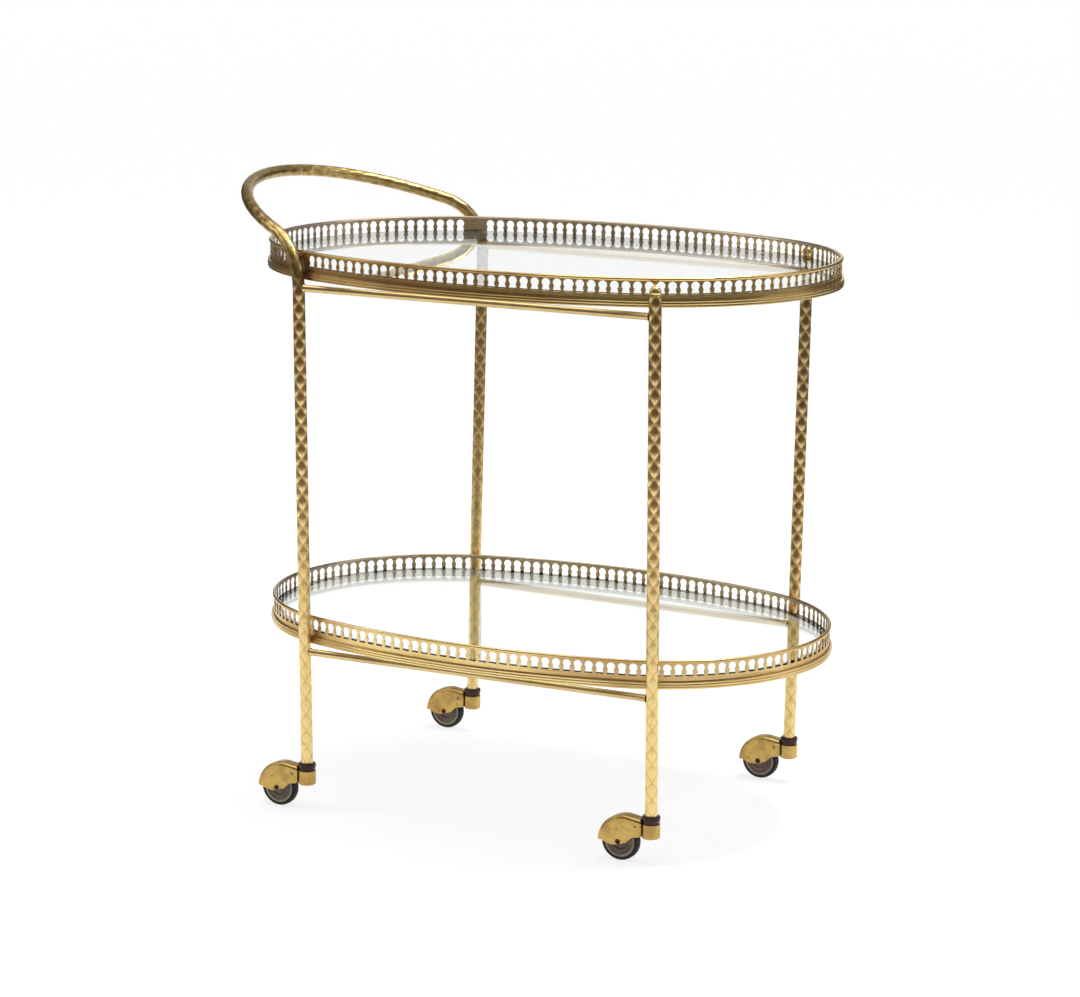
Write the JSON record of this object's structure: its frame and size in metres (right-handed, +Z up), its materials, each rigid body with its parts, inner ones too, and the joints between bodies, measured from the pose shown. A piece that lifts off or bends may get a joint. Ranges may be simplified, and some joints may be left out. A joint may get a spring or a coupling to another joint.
{
  "type": "dessert trolley",
  "caption": "Oval two-tier brass serving trolley with glass shelves in pierced galleries, embossed tube legs, a looped push handle and hooded swivel casters.",
  "frame": {"origin": "centre of the whole trolley's box, on the floor", "axes": "+Z up; +X along the trays' length, from the handle end to the free end; +Y across, to the far side"},
  "size_m": [0.7081, 0.482, 0.7072],
  "materials": {
    "tube_brass": "satin, aged, embossed with a fine diamond lattice",
    "rim_brass": "satin, browned with age",
    "gallery_brass": "satin, aged",
    "rail_brass": "polished",
    "caster_brass": "satin, aged",
    "screw_brass": "satin",
    "clear_glass": "clear, polished edges",
    "dark_bush": "satin",
    "wheel_disc": "worn gloss",
    "tyre_rubber": "matte",
    "stem_steel": "turned",
    "axle_brown": "browned"
  },
  "bodies": {
    "root": {"handle_frame": "tube_brass", "near_right_leg": "tube_brass", "far_right_leg": "tube_brass", "near_finial": "tube_brass", "far_finial": "tube_brass", "upper_near_rail": "rail_brass", "upper_far_rail": "rail_brass", "lower_near_rail": "rail_brass", "lower_far_rail": "rail_brass", "upper_left_rim": "rim_brass", "upper_left_gallery": "gallery_brass", "upper_right_rim": "rim_brass", "upper_right_gallery": "gallery_brass", "lower_left_rim": "rim_brass", "lower_left_gallery": "gallery_brass", "lower_right_rim": "rim_brass", "lower_right_gallery": "gallery_brass", "upper_rim_screws": "screw_brass", "lower_rim_screws": "screw_brass", "handle_screws": "screw_brass", "handle_spacers": "screw_brass", "near_left_bush": "dark_bush", "near_right_bush": "dark_bush", "far_left_bush": "dark_bush", "far_right_bush": "dark_bush"},
    "near_left_caster": {"near_left_stem": "stem_steel", "near_left_socket": "caster_brass", "near_left_hood": "caster_brass", "near_left_rivet": "screw_brass", "near_left_axle": "axle_brown"},
    "near_left_roller": {"near_left_wheel": "wheel_disc", "near_left_tyre": "tyre_rubber"},
    "near_right_caster": {"near_right_stem": "stem_steel", "near_right_socket": "caster_brass", "near_right_hood": "caster_brass", "near_right_rivet": "screw_brass", "near_right_axle": "axle_brown"},
    "near_right_roller": {"near_right_wheel": "wheel_disc", "near_right_tyre": "tyre_rubber"},
    "far_left_caster": {"far_left_stem": "stem_steel", "far_left_socket": "caster_brass", "far_left_hood": "caster_brass", "far_left_rivet": "screw_brass", "far_left_axle": "axle_brown"},
    "far_left_roller": {"far_left_wheel": "wheel_disc", "far_left_tyre": "tyre_rubber"},
    "far_right_caster": {"far_right_stem": "stem_steel", "far_right_socket": "caster_brass", "far_right_hood": "caster_brass", "far_right_rivet": "screw_brass", "far_right_axle": "axle_brown"},
    "far_right_roller": {"far_right_wheel": "wheel_disc", "far_right_tyre": "tyre_rubber"},
    "upper_plate": {"upper_glass": "clear_glass"},
    "lower_plate": {"lower_glass": "clear_glass"}
  },
  "joints": [
    {"name": "near_left_swivel", "type": "hinge", "parent": "root", "child": "near_left_caster", "pos_m": [-0.18689, -0.19403, 0.0545], "axis": [0, 0, 1], "continuous": true},
    {"name": "near_left_roll", "type": "hinge", "parent": "near_left_caster", "child": "near_left_roller", "pos_m": [-0.22239, -0.19403, 0.022], "axis": [0, 1, 0], "continuous": true},
    {"name": "near_right_swivel", "type": "hinge", "parent": "root", "child": "near_right_caster", "pos_m": [0.24311, -0.18532, 0.0545], "axis": [0, 0, 1], "continuous": true},
    {"name": "near_right_roll", "type": "hinge", "parent": "near_right_caster", "child": "near_right_roller", "pos_m": [0.20761, -0.18532, 0.022], "axis": [0, 1, 0], "continuous": true},
    {"name": "far_left_swivel", "type": "hinge", "parent": "root", "child": "far_left_caster", "pos_m": [-0.18689, 0.19403, 0.0545], "axis": [0, 0, 1], "continuous": true},
    {"name": "far_left_roll", "type": "hinge", "parent": "far_left_caster", "child": "far_left_roller", "pos_m": [-0.22239, 0.19403, 0.022], "axis": [0, 1, 0], "continuous": true},
    {"name": "far_right_swivel", "type": "hinge", "parent": "root", "child": "far_right_caster", "pos_m": [0.24311, 0.18532, 0.0545], "axis": [0, 0, 1], "continuous": true},
    {"name": "far_right_roll", "type": "hinge", "parent": "far_right_caster", "child": "far_right_roller", "pos_m": [0.20761, 0.18532, 0.022], "axis": [0, 1, 0], "continuous": true},
    {"name": "upper_glass_lift", "type": "slide", "parent": "root", "child": "upper_plate", "axis": [0, 0, 1], "range_m": [0, 0.04]},
    {"name": "lower_glass_lift", "type": "slide", "parent": "root", "child": "lower_plate", "axis": [0, 0, 1], "range_m": [0, 0.04]}
  ]
}
